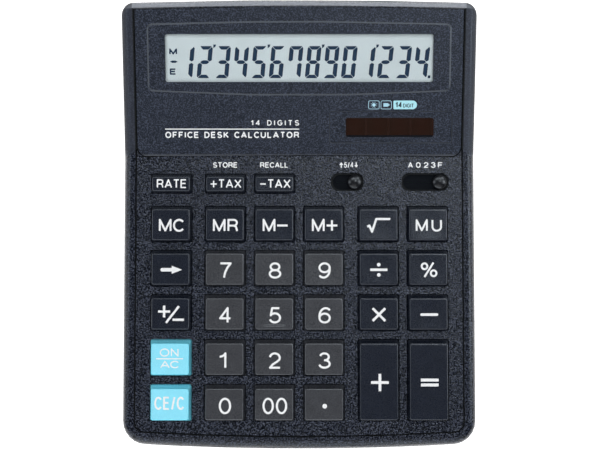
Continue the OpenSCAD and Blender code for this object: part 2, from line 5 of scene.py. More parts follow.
import bmesh
import bpy
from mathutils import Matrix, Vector
from mathutils.geometry import delaunay_2d_cdt
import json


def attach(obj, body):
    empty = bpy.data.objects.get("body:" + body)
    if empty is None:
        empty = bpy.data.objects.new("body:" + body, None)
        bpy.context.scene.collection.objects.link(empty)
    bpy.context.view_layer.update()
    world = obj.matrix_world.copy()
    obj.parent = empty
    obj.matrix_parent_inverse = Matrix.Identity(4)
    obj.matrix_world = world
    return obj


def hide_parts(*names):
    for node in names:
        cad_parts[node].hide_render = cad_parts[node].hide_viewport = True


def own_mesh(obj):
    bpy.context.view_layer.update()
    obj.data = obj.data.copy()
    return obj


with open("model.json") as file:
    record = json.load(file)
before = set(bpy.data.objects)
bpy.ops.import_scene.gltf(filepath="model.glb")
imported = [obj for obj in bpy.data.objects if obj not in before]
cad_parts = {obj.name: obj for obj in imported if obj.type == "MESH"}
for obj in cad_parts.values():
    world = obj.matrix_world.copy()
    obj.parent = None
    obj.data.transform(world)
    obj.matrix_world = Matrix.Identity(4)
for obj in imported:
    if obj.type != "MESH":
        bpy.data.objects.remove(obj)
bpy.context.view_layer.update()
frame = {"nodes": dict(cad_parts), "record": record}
nodes = frame["nodes"]

MM = 0.001
FOLD = Vector((0, 30.6, 16.635))
DECK_TILT = 3               # degrees, as is the next
DISPLAY_TILT = 14
PANEL_RISE = 1.0            # the panel's face over the display slope
LCD_TOP = -1.0
INK_RISE = 0.025            # how far print stands out of its surface
INK_SINK = 0.03             # how far it reaches into it


class Slope:
    """A tilted surface through the fold: v runs up the slope, w out of it."""

    def __init__(self, tilt):
        turn = math.radians(tilt)
        self.along = Vector((0, math.cos(turn), math.sin(turn)))
        self.out = Vector((0, -math.sin(turn), math.cos(turn)))

    def at(self, x, v, w):
        return (FOLD + Vector((x, 0, 0)) + v * self.along + w * self.out) * MM

    def reach(self, name):
        """Lowest and highest x, v and w of a CAD node."""
        spots = []
        for vertex in nodes[name].data.vertices:
            p = vertex.co / MM - FOLD
            spots.append((p.x, p.dot(self.along), p.dot(self.out)))
        return [(min(axis), max(axis)) for axis in zip(*spots)]


deck = Slope(DECK_TILT)
display = Slope(DISPLAY_TILT)


# ---------------------------------------------------------------- camera, light and floor

CAMERA_TILT = 5.65          # degrees from straight down
# In metres, as are the places of the lamps and the floor
CAMERA_AIM = Vector((0.00034, 0.00025, 0.018))
CAMERA_RANGE = 0.4339
CAMERA_SENSOR = 36          # millimetres, as is the lens
CAMERA_LENS = 60.4
LAMP_AIM = Vector((0, 0, 0.015))
NEUTRAL = (1, 1, 1)
COOL = (0.84, 0.93, 1.0)
# Name, place, size, power, tint, seen in diffuse light, seen in reflections
LAMPS = (
    ("ceiling", (0, -0.1, 1.3), (1.4, 1.4), 20.5, NEUTRAL, True, False),
    ("front_softbox", (-0.1, -0.75, 0.85), (1.0, 0.4), 2.0, NEUTRAL, True, False),
    ("front_glow", (-0.1, -0.8, 0.8), (1.0, 0.4), 1.2, NEUTRAL, False, True),
    ("overhead_card", (0.27, 0.27, 1.1), (0.24, 0.24), 2.7, COOL, False, True),
    ("right_card", (0.9, 0.06, 0.55), (0.5, 0.5), 4.4, COOL, False, True),
    ("rear_right_card", (0.7, 0.72, 0.5), (0.4, 0.4), 2.5, COOL, False, True),
    ("rear_card", (-0.1, 0.75, 0.85), (1.4, 0.25), 7.0, COOL, False, True),
    ("left_card", (-0.9, 0.06, 0.5), (0.5, 0.5), 2.2, COOL, False, True),
    ("front_card", (-0.2, -0.95, 0.35), (1.6, 0.35), 5.0, COOL, False, True),
)
WORLD_TINT = (0.7, 0.85, 1.0, 1)
WORLD_STRENGTH = 0.05
FLOOR_HALF = 40.0
FLOOR_Z = -0.0002           # just under the feet, so that the two never share a plane
FLOOR_GLOW = 0.8


def add_camera():
    tilt = math.radians(CAMERA_TILT)
    camera = bpy.data.objects.new("camera", bpy.data.cameras.new("camera"))
    camera.data.sensor_width = CAMERA_SENSOR
    camera.data.lens = CAMERA_LENS
    camera.data.clip_start = 0.01
    camera.location = CAMERA_AIM + CAMERA_RANGE * Vector((0, -math.sin(tilt), math.cos(tilt)))
    camera.rotation_euler = (tilt, 0, 0)
    bpy.context.scene.collection.objects.link(camera)
    bpy.context.scene.camera = camera


def add_light(name, place, size, power, tint, diffuse, glossy):
    """A soft rectangular lamp that faces the keyboard."""
    lamp = bpy.data.lights.new(name, "AREA")
    lamp.shape = "RECTANGLE"
    lamp.size, lamp.size_y = size
    lamp.energy = power
    lamp.color = tint
    holder = bpy.data.objects.new(name, lamp)
    holder.location = place
    holder.visible_diffuse = diffuse
    holder.visible_glossy = glossy
    aim = LAMP_AIM - Vector(place)
    holder.rotation_euler = aim.to_track_quat("-Z", "Y").to_euler()
    bpy.context.scene.collection.objects.link(holder)


def add_surroundings():
    """Lamps, a dim world and a bright paper floor."""
    for lamp in LAMPS:
        add_light(*lamp)
    scene = bpy.context.scene
    scene.world = bpy.data.worlds.new("studio")
    scene.world.use_nodes = True
    background = scene.world.node_tree.nodes["Background"]
    background.inputs["Color"].default_value = WORLD_TINT
    background.inputs["Strength"].default_value = WORLD_STRENGTH
    scene.view_settings.view_transform = "Standard"

    material = bpy.data.materials.new("floor_paper")
    material.use_nodes = True
    shader = material.node_tree.nodes["Principled BSDF"]
    shader.inputs["Base Color"].default_value = (0.93, 0.93, 0.93, 1)
    shader.inputs["Roughness"].default_value = 0.9
    shader.inputs["Specular IOR Level"].default_value = 0.1
    shader.inputs["Emission Color"].default_value = (1, 1, 1, 1)
    shader.inputs["Emission Strength"].default_value = FLOOR_GLOW
    mesh = bpy.data.meshes.new("floor")
    signs = ((-1, -1), (1, -1), (1, 1), (-1, 1))
    corners = [(x * FLOOR_HALF, y * FLOOR_HALF, FLOOR_Z) for x, y in signs]
    mesh.from_pydata(corners, [], [(0, 1, 2, 3)])
    mesh.materials.append(material)
    floor = bpy.data.objects.new("floor", mesh)
    scene.collection.objects.link(floor)


# ---------------------------------------------------------------- materials


class Recipe:
    """A Principled material with helpers that add procedural detail in object space."""

    def __init__(self, name, tint, rough, specular=0.5, metal=0.0):
        self.material = bpy.data.materials.new(name)
        self.material.use_nodes = True
        self.tree = self.material.node_tree
        self.shader = self.tree.nodes["Principled BSDF"]
        self.tint = tint
        self.shader.inputs["Base Color"].default_value = (*tint, 1)
        self.shader.inputs["Roughness"].default_value = rough
        self.shader.inputs["Specular IOR Level"].default_value = specular
        self.shader.inputs["Metallic"].default_value = metal
        self.spot = self.tree.nodes.new("ShaderNodeTexCoord").outputs["Object"]
        self.rough = None
        self.relief = None
        self.paint = None

    def node(self, kind, **values):
        made = self.tree.nodes.new(kind)
        for key, value in values.items():
            made.inputs[key.replace("_", " ")].default_value = value
        return made

    def link(self, source, target):
        self.tree.links.new(source, target)

    def maths(self, operation, *values):
        """Result of a calculation: each value is a number or another node's output."""
        made = self.tree.nodes.new("ShaderNodeMath")
        made.operation = operation
        for socket, value in zip(made.inputs, values):
            if isinstance(value, (int, float)):
                socket.default_value = value
            else:
                self.link(value, socket)
        return made.outputs["Value"]

    def product(self, value, *others):
        for other in others:
            value = self.maths("MULTIPLY", value, other)
        return value

    def axes(self, source):
        """The x, y and z of a vector output."""
        parts = self.tree.nodes.new("ShaderNodeSeparateXYZ")
        self.link(source, parts.inputs["Vector"])
        return [parts.outputs[axis] for axis in "XYZ"]

    def dot(self, source, direction):
        """How far a vector output runs along a direction."""
        made = self.tree.nodes.new("ShaderNodeVectorMath")
        made.operation = "DOT_PRODUCT"
        made.inputs[1].default_value = direction
        self.link(source, made.inputs[0])
        return made.outputs["Value"]

    def normal(self, kind="Normal"):
        return self.tree.nodes.new("ShaderNodeNewGeometry").outputs[kind]

    def noise(self, grain, detail=2.0, stretch=(1, 1, 1)):
        """Noise with blotches about this many millimetres across."""
        mapping = self.node("ShaderNodeMapping", Scale=stretch)
        self.link(self.spot, mapping.inputs["Vector"])
        made = self.node("ShaderNodeTexNoise", Scale=1 / (grain * MM), Detail=detail)
        self.link(mapping.outputs["Vector"], made.inputs["Vector"])
        return made.outputs["Fac"]

    def span(self, source, low, high, start=0.3, end=0.7):
        """Runs from low to high while the source runs from start to end."""
        made = self.node("ShaderNodeMapRange", From_Min=start, From_Max=end, To_Min=low, To_Max=high)
        self.link(source, made.inputs["Value"])
        return made.outputs["Result"]

    def colours(self, source, stops):
        """Colour by a value: stops are (place, colour)."""
        ramp = self.tree.nodes.new("ShaderNodeValToRGB")
        band = ramp.color_ramp
        while len(band.elements) < len(stops):
            band.elements.new(0.5)
        for element, (place, tint) in zip(band.elements, stops):
            element.position = place
            element.color = (*tint, 1)
        self.link(source, ramp.inputs["Fac"])
        self.paint = ramp.outputs["Color"]
        self.link(self.paint, self.shader.inputs["Base Color"])

    def cover(self, share, tint):
        """Mixes another colour over the paint where share is 1."""
        blend = self.tree.nodes.new("ShaderNodeMix")
        blend.data_type = "RGBA"
        self.link(share, blend.inputs["Factor"])
        self.link(self.paint, blend.inputs[6])
        blend.inputs[7].default_value = (*tint, 1)
        self.paint = blend.outputs[2]
        self.link(self.paint, self.shader.inputs["Base Color"])

    def speckle(self, source, dark, light):
        """Blotches of the tint times dark and times light."""
        self.colours(source, [
            (0.3, tuple(c * dark for c in self.tint)),
            (0.5, self.tint),
            (0.7, tuple(min(c * light, 1) for c in self.tint)),
        ])

    def roughness(self, source, low, high):
        self.rough = self.span(source, low, high)
        self.link(self.rough, self.shader.inputs["Roughness"])

    def bump(self, source, height):
        """Relief of this height in millimetres."""
        made = self.node("ShaderNodeBump", Distance=height * MM, Strength=1.0)
        self.relief = made.inputs["Strength"]
        self.link(source, made.inputs["Height"])
        self.link(made.outputs["Normal"], self.shader.inputs["Normal"])


def grained(name, tint, glint, rough, specular, relief, size):
    """Moulded plastic with a fine spark-eroded grain, its colour following the relief: painted shade in the
    pits and painted glints on the grain between them.
    """
    recipe = Recipe(name, tint, rough, specular)
    grain = recipe.noise(size, 2)
    # Painted shade for the pits and painted glints between them, on the same noise as the relief
    pit_shade = tuple(0.4 * part for part in tint)
    recipe.colours(grain, [(0.43, pit_shade), (0.5, tint), (0.62, glint)])
    recipe.roughness(recipe.noise(0.9, 1), rough - 0.05, rough + 0.1)
    recipe.bump(grain, relief)
    return recipe


# Places where the case's painted highlight, painted shade and painted light on the rails start, in metres
RIM_Y = 0.0926
RIM_Z = 0.0275
RIM_BOW = 0.2               # how much the rim curves forward at the sides, per metre
GROOVE_X = 0.0714
GROOVE_Y = -0.0909
FADE = 0.0002               # how far a change of colour spreads
# Colour of the painted shade in the recesses under the deck and in the groove beside the display panel
HOLLOW_SHADE = (0.0012, 0.0014, 0.002)


def case_charcoal():
    """The case's grained plastic, with painted light and shade: a painted highlight on the rear rim, painted
    shade in the recesses under the deck and in the groove beside the display panel, painted light on the rails
    beside the display and painted shade on their rounded outer edges.
    """
    recipe = grained("case_charcoal", (0.0017, 0.0033, 0.0094), (0.045, 0.053, 0.08), 0.24, 0.43, 0.21, 0.6)
    x, y, z = recipe.axes(recipe.spot)
    aside = recipe.maths("ABSOLUTE", x)

    # Painted highlight on the rear rim, towards its top
    bowed = recipe.maths("MULTIPLY_ADD", recipe.product(x, x), RIM_BOW, y)
    behind = recipe.span(bowed, 0, 1, RIM_Y, RIM_Y + 2 * FADE)
    above = recipe.span(z, 0, 1, RIM_Z, RIM_Z + 10 * FADE)
    recipe.cover(recipe.product(behind, above), (0.25, 0.265, 0.3))

    # Painted shade in the recesses below the deck's surface, inside the groove round the deck
    start = (-deck.out.dot(FOLD)) * MM
    height = recipe.maths("MULTIPLY_ADD", y, deck.out.y, start)
    height = recipe.maths("MULTIPLY_ADD", z, deck.out.z, height)
    sunk = recipe.span(height, 1, 0, -0.0005, -FADE)
    between = recipe.span(aside, 1, 0, GROOVE_X, GROOVE_X + FADE)
    inside = recipe.span(y, 0, 1, GROOVE_Y - FADE, GROOVE_Y)
    hollow_shade = recipe.product(sunk, between, inside)
    recipe.cover(hollow_shade, HOLLOW_SHADE)

    level = recipe.axes(recipe.normal("True Normal"))[2]
    # Painted shade on the case in the gap round the display panel
    raised = recipe.span(y, 0, 1, FOLD.y * MM, FOLD.y * MM + 0.003)
    beyond = recipe.span(aside, 0, 1, GROOVE_X - FADE, GROOVE_X + FADE / 2)
    before = recipe.span(y, 1, 0, RIM_Y - 5 * FADE, RIM_Y - 3 * FADE)
    gap = recipe.product(raised, recipe.maths("SUBTRACT", 1, beyond), before)
    recipe.cover(gap, HOLLOW_SHADE)
    # Painted light on the tops of the rails beside the display
    rail_light = recipe.product(beyond, raised, recipe.span(level, 0, 1, 0.35, 0.6))
    recipe.cover(recipe.product(rail_light, 0.65), (0.0165, 0.0205, 0.034))
    # Painted shade on the rails' rounded outer edges
    outer = recipe.product(rail_light, recipe.span(level, 1, 0, 0.75, 0.9))
    recipe.cover(recipe.product(outer, 0.6), (0.003, 0.004, 0.008))

    dull = recipe.rough
    for mask, amount in ((hollow_shade, 0.6), (gap, 0.6), (rail_light, 0.12), (outer, 0.3)):
        dull = recipe.maths("MULTIPLY_ADD", mask, amount, dull)
    recipe.link(dull, recipe.shader.inputs["Roughness"])
    recipe.link(recipe.maths("MULTIPLY_ADD", between, 0.5, 0.5), recipe.relief)
    return recipe


def panel_charcoal():
    """The display panel's finer grain, with painted highlights along its slopes and its front edge."""
    recipe = grained("panel_charcoal", (0.0062, 0.0104, 0.0225), (0.036, 0.046, 0.076), 0.36, 0.42, 0.04, 0.55)
    facing = recipe.dot(recipe.normal("True Normal"), display.out)
    # Painted highlight on slopes and rounded edges that turn away from the panel's face
    recipe.cover(recipe.span(facing, 1, 0, 0.8, 0.985), (0.05, 0.057, 0.07))
    _, (front, _), _ = display.reach("display_panel")
    edge = (front + FOLD.dot(display.along)) * MM
    # Painted highlight along the panel's front edge
    front_highlight = recipe.span(recipe.dot(recipe.spot, display.along), 0.8, 0, edge + 0.0004, edge + 0.0009)
    recipe.cover(front_highlight, (0.06, 0.067, 0.082))
    return recipe


def satin(name, tint, rough=0.34, specular=0.5, relief=0.006, dark=0.9, light=1.12):
    """Smooth moulded plastic with a faint unevenness."""
    recipe = Recipe(name, tint, rough, specular)
    recipe.speckle(recipe.noise(5, 3), dark, light)
    fine = recipe.noise(0.35, 2)
    recipe.roughness(fine, rough - 0.05, rough + 0.08)
    recipe.bump(fine, relief)
    return recipe


def key_plastic(name, tint, edge, rough, specular, relief=0.006, dark=0.9, light=1.12, low=0.45):
    """Satin plastic, with a painted highlight in the edge colour on slopes that face partly out of the deck,
    from low to 0.96.
    """
    recipe = satin(name, tint, rough, specular, relief, dark, light)
    facing = recipe.dot(recipe.normal(), deck.out)
    rise = recipe.span(facing, 0, 1, low, low + 0.2)
    fall = recipe.span(facing, 1, 0, 0.86, 0.96)
    # Painted highlight on the keys' rounded edges and slopes
    recipe.cover(recipe.product(rise, fall), edge)
    return recipe


def brushed(name, tint, rough=0.3):
    """Bare metal with fine lines."""
    recipe = Recipe(name, tint, rough, 0.5, 1.0)
    lines = recipe.noise(0.25, 2, (0.06, 1, 1))
    recipe.speckle(lines, 0.8, 1.15)
    recipe.roughness(lines, rough - 0.08, rough + 0.12)
    recipe.bump(lines, 0.004)
    return recipe


def lens_clear():
    """The display window's clear plastic."""
    recipe = Recipe("lens_clear", (0.02, 0.024, 0.03), 0.06, 0.3)
    recipe.shader.inputs["Alpha"].default_value = 0.07
    recipe.roughness(recipe.noise(8, 2), 0.04, 0.09)
    return recipe


def lcd_pale():
    """The display's pale blue ground."""
    recipe = Recipe("lcd_pale", (0.66, 0.76, 0.79), 0.4, 0.3)
    recipe.speckle(recipe.noise(14, 2), 0.96, 1.03)
    recipe.bump(recipe.noise(0.3, 1), 0.002)
    return recipe


def solar_dark():
    """Amorphous cells behind glass: dark brown, with fine lines between the strips."""
    recipe = Recipe("solar_dark", (0.02, 0.008, 0.0055), 0.12, 0.4)
    lines = recipe.node("ShaderNodeTexWave", Scale=32.5, Distortion=0)
    recipe.link(recipe.spot, lines.inputs["Vector"])
    recipe.colours(lines.outputs["Fac"], [
        (0.0, (0.021, 0.009, 0.006)),
        (0.05, (0.0175, 0.0075, 0.0045)),
        (1.0, (0.019, 0.0072, 0.0042)),
    ])
    recipe.roughness(recipe.noise(4, 2), 0.1, 0.18)
    return recipe


def board_green():
    """Circuit board: green lacquer over paler copper tracks."""
    recipe = Recipe("board_green", (0.02, 0.11, 0.035), 0.3, 0.5)
    tracks = recipe.node(
        "ShaderNodeTexBrick", Scale=90, Mortar_Size=0.035, Mortar=(0.05, 0.2, 0.07, 1),
        Color1=(0.018, 0.1, 0.032, 1), Color2=(0.024, 0.13, 0.04, 1))
    recipe.link(recipe.spot, tracks.inputs["Vector"])
    recipe.link(tracks.outputs["Color"], recipe.shader.inputs["Base Color"])
    recipe.bump(tracks.outputs["Fac"], 0.03)
    return recipe


def ink(name, tint, rough=0.45):
    """Printed ink, very slightly uneven."""
    recipe = Recipe(name, tint, rough, 0.3)
    recipe.speckle(recipe.noise(1.2, 2), 0.96, 1.03)
    recipe.roughness(recipe.noise(0.5, 1), rough - 0.08, rough + 0.08)
    return recipe


RECIPES = {
    "case": case_charcoal(),
    "panel": panel_charcoal(),
    "base": grained("base_charcoal", (0.009, 0.0115, 0.018), (0.02, 0.023, 0.032), 0.36, 0.45, 0.08, 0.6),
    "lens": lens_clear(),
    "foam": satin("foam_black", (0.003, 0.004, 0.006), 0.85, 0.08, 0.05),
    "lcd": lcd_pale(),
    "holder": satin("holder_white", (0.62, 0.62, 0.6), 0.45),
    "flex": satin("flex_amber", (0.5, 0.25, 0.06), 0.25),
    "solar": solar_dark(),
    "wire_red": satin("wire_red", (0.42, 0.02, 0.02), 0.4),
    "wire_black": satin("wire_black", (0.012, 0.012, 0.013), 0.4),
    "board": board_green(),
    "epoxy": satin("epoxy_black", (0.008, 0.008, 0.009), 0.2, 0.5, 0.03),
    "can": satin("can_blue", (0.016, 0.026, 0.07), 0.25),
    "keypad_rubber": satin("keypad_grey", (0.17, 0.17, 0.18), 0.6, 0.3, 0.01),
    "cell_steel": brushed("cell_steel", (0.66, 0.66, 0.67), 0.22),
    "spring_steel": brushed("spring_steel", (0.6, 0.58, 0.55)),
    "contact_brass": brushed("contact_brass", (0.7, 0.48, 0.2)),
    "screw_steel": brushed("screw_steel", (0.42, 0.42, 0.44), 0.36),
    "feet_rubber": satin("feet_rubber", (0.026, 0.026, 0.028), 0.75, 0.25, 0.02),
    "knob": satin("knob_black", (0.005, 0.005, 0.007), 0.28, 0.5, 0.002),
    "key_function": key_plastic("key_blue_black", (0.0062, 0.0088, 0.0172), (0.05, 0.056, 0.07), 0.26, 0.5),
    "key_digit": key_plastic("key_grey", (0.033, 0.035, 0.0415), (0.1, 0.105, 0.115), 0.26, 0.6),
    # Its painted highlight starts low, so the blue keys' drafted sides are painted light like the top
    "key_clear": key_plastic(
        "key_light_blue", (0.22, 0.72, 0.9), (0.2, 0.8, 1.0), 0.24, 0.6, 0.004, 0.97, 1.02, -0.2),
}
MATERIALS = {slot: recipe.material for slot, recipe in RECIPES.items()}
INK_WHITE = ink("ink_white", (0.8, 0.81, 0.82)).material
INK_BLUE = ink("ink_pale_blue", (0.38, 0.72, 0.8)).material
INK_ICON = ink("ink_icon_blue", (0.36, 0.6, 0.72)).material
INK_DARK = ink("ink_dark", (0.012, 0.02, 0.03)).material
INK_NAVY = ink("lcd_navy", (0.0015, 0.024, 0.066), 0.5).material
SLOTS = {part["node"]: part["material_slot"] for part in frame["record"]["subparts"]}
BODIES = frame["record"]["behaviour"]["bodies"]
BODY_OF = {node: body for body, members in BODIES.items() for node in members}


# ---------------------------------------------------------------- the CAD's own pieces


def dress(name):
    """Gives a CAD node the material of its slot."""
    mesh = nodes[name].data
    material = MATERIALS[SLOTS[name]]
    if not mesh.materials:
        mesh.materials.append(material)
    for slot in nodes[name].material_slots:
        slot.material = material


def soften(name, width, sharp=32, gap=1e-6):
    """Rounds the sharp edges of a moulded piece, once its points closer than gap metres are joined."""
    piece = nodes[name]
    weld = piece.modifiers.new("weld", "WELD")
    weld.merge_threshold = gap
    flat = piece.modifiers.new("flat", "DECIMATE")
    flat.decimate_type = "DISSOLVE"
    flat.angle_limit = math.radians(1)
    edge = piece.modifiers.new("edge", "BEVEL")
    edge.width = width * MM
    edge.segments = 3
    edge.limit_method = "ANGLE"
    edge.angle_limit = math.radians(sharp)
    edge.miter_outer = "MITER_ARC"
    even = piece.modifiers.new("even", "WEIGHTED_NORMAL")
    even.keep_sharp = False


# ---------------------------------------------------------------- meshes from code


def add_piece(name, points, faces, material, body, smooth=40):
    """A closed mesh piece that rides on a body. Edges sharper than smooth degrees stay sharp."""
    mesh = bpy.data.meshes.new(name)
    mesh.from_pydata([tuple(p) for p in points], [], faces)
    work = bmesh.new()
    work.from_mesh(mesh)
    bmesh.ops.recalc_face_normals(work, faces=work.faces)
    limit = math.radians(smooth)
    for face in work.faces:
        face.smooth = True
    for edge in work.edges:
        edge.smooth = edge.calc_face_angle(math.pi) < limit
    work.to_mesh(mesh)
    work.free()
    mesh.materials.append(material)
    piece = bpy.data.objects.new(name, mesh)
    bpy.context.scene.collection.objects.link(piece)
    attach(piece, body)
    return piece


def rounded_ring(half_w, front, rear, radius, bend=5, side=6):
    """Outline of a rounded rectangle with evenly divided sides, anticlockwise, as (x, v)."""
    corners = (
        (half_w - radius, front + radius, -90),
        (half_w - radius, rear - radius, 0),
        (radius - half_w, rear - radius, 90),
        (radius - half_w, front + radius, 180),
    )
    ring = []
    for index, (x, v, start) in enumerate(corners):
        for step in range(bend + 1):
            turn = math.radians(start + 90 * step / bend)
            ring.append((x + radius * math.cos(turn), v + radius * math.sin(turn)))
        next_x, next_v, next_start = corners[(index + 1) % 4]
        turn = math.radians(next_start)
        goal = (next_x + radius * math.cos(turn), next_v + radius * math.sin(turn))
        last = ring[-1]
        for step in range(1, side):
            share = step / side
            ring.append((last[0] + (goal[0] - last[0]) * share, last[1] + (goal[1] - last[1]) * share))
    return ring


def skin(rings):
    """Faces of a closed body through rings of equal length: caps at both ends."""
    count = len(rings[0])
    points = [p for ring in rings for p in ring]
    faces = [tuple(range(count))]
    for level in range(len(rings) - 1):
        low, high = level * count, (level + 1) * count
        for i in range(count):
            j = (i + 1) % count
            faces.append((low + i, low + j, high + j, high + i))
    top = (len(rings) - 1) * count
    faces.append(tuple(range(top, top + count)))
    return points, faces


def union(polygons):
    """Corner points and triangles of overlapping polygons joined into one flat shape."""
    corners, faces = [], []
    for polygon in polygons:
        ring = [Vector(p) for p in polygon]
        if sum(a.cross(b) for a, b in zip(ring, ring[1:] + ring[:1])) < 0:
            ring.reverse()
        faces.append(list(range(len(corners), len(corners) + len(ring))))
        corners += ring
    spots, _, triangles, _, _, sources = delaunay_2d_cdt(corners, [], faces, 0, 1e-5)
    kept = []
    for triangle, source in zip(triangles, sources):
        if source:
            a, b, c = (spots[i] for i in triangle)
            area = (b - a).cross(c - a)
            if abs(area) > 1e-9:
                kept.append(tuple(triangle) if area > 0 else tuple(reversed(triangle)))
    return spots, kept


def decal(name, polygons, surface, material, body):
    """A thin printed layer: surface(x, v, w) gives the place, in metres, of the point w above the surface."""
    spots, triangles = union(polygons)
    used = sorted({i for triangle in triangles for i in triangle})
    index = {old: new for new, old in enumerate(used)}
    count = len(used)
    points = [surface(spots[i].x, spots[i].y, -INK_SINK) for i in used]
    points += [surface(spots[i].x, spots[i].y, INK_RISE) for i in used]
    tops = [tuple(index[i] for i in triangle) for triangle in triangles]
    edges = {(t[k], t[(k + 1) % 3]) for t in tops for k in range(3)}
    faces = [tuple(i + count for i in t) for t in tops] + [tuple(reversed(t)) for t in tops]
    for a, b in edges:
        if (b, a) not in edges:
            faces.append((a, b, b + count, a + count))
    return add_piece(name, points, faces, material, body, 30)


# ---------------------------------------------------------------- lettering from strokes


def arc(x, y, rx, ry, start, end, steps=12):
    turns = [math.radians(start + (end - start) * i / steps) for i in range(steps + 1)]
    return [(x + rx * math.cos(turn), y + ry * math.sin(turn)) for turn in turns]


def oval(x, y, rx, ry):
    return arc(x, y, rx, ry, 0, 360, 24)


# Centre lines of the strokes of each letter, 1 high. The first number is the width.
GLYPHS = {
    "0": (0.7, [oval(0.35, 0.5, 0.35, 0.5)]),
    "1": (0.38, [[(0.0, 0.76), (0.17, 0.8), (0.3, 0.88), (0.37, 1.0), (0.37, 0.0)]]),
    "2": (0.71, [
        arc(0.35, 0.69, 0.34, 0.31, 172, -28) + [(0.5, 0.42), (0.2, 0.22), (0.02, 0.0), (0.71, 0.0)],
    ]),
    "3": (0.71, [arc(0.34, 0.755, 0.3, 0.245, 165, -85), arc(0.34, 0.265, 0.36, 0.265, 95, -168)]),
    "4": (0.76, [[(0.55, 0.0), (0.55, 1.0), (0.0, 0.29), (0.76, 0.29)]]),
    "5": (0.7, [[(0.65, 1.0), (0.16, 1.0), (0.07, 0.5)] + arc(0.34, 0.32, 0.36, 0.32, 138, -160)]),
    "6": (0.7, [oval(0.35, 0.31, 0.35, 0.31), arc(0.42, 0.44, 0.42, 0.56, 195, 48)]),
    "7": (0.72, [[(0.0, 1.0), (0.72, 1.0), (0.5, 0.7), (0.34, 0.36), (0.26, 0.0)]]),
    "8": (0.7, [oval(0.35, 0.755, 0.3, 0.245), oval(0.35, 0.265, 0.36, 0.265)]),
    "9": (0.7, [oval(0.35, 0.69, 0.35, 0.31), arc(0.28, 0.56, 0.42, 0.56, 15, -132)]),
    "A": (0.9, [[(0.0, 0.0), (0.45, 1.0), (0.9, 0.0)], [(0.15, 0.31), (0.75, 0.31)]]),
    "C": (0.82, [arc(0.46, 0.5, 0.46, 0.5, 40, 320, 18)]),
    "D": (0.8, [[(0.0, 0.0), (0.0, 1.0)] + arc(0.32, 0.5, 0.48, 0.5, 90, -90) + [(0.0, 0.0)]]),
    "E": (0.7, [[(0.69, 1.0), (0.0, 1.0), (0.0, 0.0), (0.7, 0.0)], [(0.0, 0.53), (0.63, 0.53)]]),
    "F": (0.68, [[(0.68, 1.0), (0.0, 1.0), (0.0, 0.0)], [(0.0, 0.5), (0.58, 0.5)]]),
    "G": (0.9, [arc(0.46, 0.5, 0.46, 0.5, 40, 330, 18) + [(0.9, 0.46), (0.52, 0.46)]]),
    "I": (0.0, [[(0.0, 0.0), (0.0, 1.0)]]),
    "K": (0.78, [[(0.0, 0.0), (0.0, 1.0)], [(0.72, 1.0), (0.0, 0.34)], [(0.25, 0.58), (0.78, 0.0)]]),
    "L": (0.62, [[(0.0, 1.0), (0.0, 0.0), (0.62, 0.0)]]),
    "M": (0.96, [[(0.0, 0.0), (0.0, 1.0), (0.48, 0.04), (0.96, 1.0), (0.96, 0.0)]]),
    "N": (0.78, [[(0.0, 0.0), (0.0, 1.0), (0.78, 0.0), (0.78, 1.0)]]),
    "O": (0.94, [oval(0.47, 0.5, 0.47, 0.5)]),
    "R": (0.8, [
        [(0.0, 0.0), (0.0, 1.0), (0.48, 1.0)] + arc(0.48, 0.74, 0.28, 0.26, 90, -90) + [(0.0, 0.48)],
        [(0.46, 0.48), (0.68, 0.38), (0.74, 0.16), (0.8, 0.0)],
    ]),
    "S": (0.76, [arc(0.38, 0.745, 0.33, 0.255, 28, 270) + arc(0.38, 0.245, 0.37, 0.245, 90, -158)]),
    "T": (0.74, [[(0.0, 1.0), (0.74, 1.0)], [(0.37, 1.0), (0.37, 0.0)]]),
    "U": (0.8, [[(0.0, 1.0)] + arc(0.4, 0.36, 0.4, 0.36, 180, 360) + [(0.8, 1.0)]]),
    "X": (0.84, [[(0.0, 0.0), (0.84, 1.0)], [(0.0, 1.0), (0.84, 0.0)]]),
    "+": (0.86, [[(0.0, 0.46), (0.86, 0.46)], [(0.43, 0.03), (0.43, 0.89)]]),
    "-": (0.8, [[(0.0, 0.46), (0.8, 0.46)]]),
    "/": (0.4, [[(0.0, -0.04), (0.4, 1.04)]]),
    " ": (0.3, []),
}


def bar(a, b, thick):
    """A straight stroke from a to b."""
    a, b = Vector(a), Vector(b)
    run = b - a
    side = Vector((-run.y, run.x)).normalized() * thick / 2
    return [a + side, a - side, b - side, b + side]


def disc(x, y, radius, steps=12):
    return [Vector(p) for p in arc(x, y, radius, radius, 0, 360, steps)[:-1]]


def pen(points, thick, round_ends=False):
    """Overlapping pieces of one stroke."""
    pieces = [bar(a, b, thick) for a, b in zip(points, points[1:]) if math.dist(a, b) > 1e-6]
    joints = points[1:-1]
    if math.dist(points[0], points[-1]) < 1e-6:
        joints = points[1:]
    elif round_ends:
        joints = points
    return pieces + [disc(p[0], p[1], thick / 2) for p in joints]


def word(text, height, width, weight=0.17, middle=(0, 0)):
    """A line of capitals or digits of this height, spread over this width, round its middle."""
    thick = height * weight
    size = height - thick
    widths = [GLYPHS[letter][0] * size + thick for letter in text]
    squeeze = 1.0
    gap = (width - sum(widths)) / max(len(text) - 1, 1)
    if len(text) == 1:
        squeeze = width / widths[0]
        gap = 0
    elif gap < 0.1 * height:
        gap = 0.1 * height
        squeeze = (width - gap * (len(text) - 1)) / sum(widths)
    shapes, start = [], middle[0] - width / 2
    for letter, wide in zip(text, widths):
        run = (wide * squeeze - thick) / (wide - thick) if wide > thick else 1
        for points in GLYPHS[letter][1]:
            shapes += pen([
                (start + thick / 2 + x * size * run, middle[1] + (y - 0.5) * size)
                for x, y in points
            ], thick)
        start += wide * squeeze + gap
    return shapes


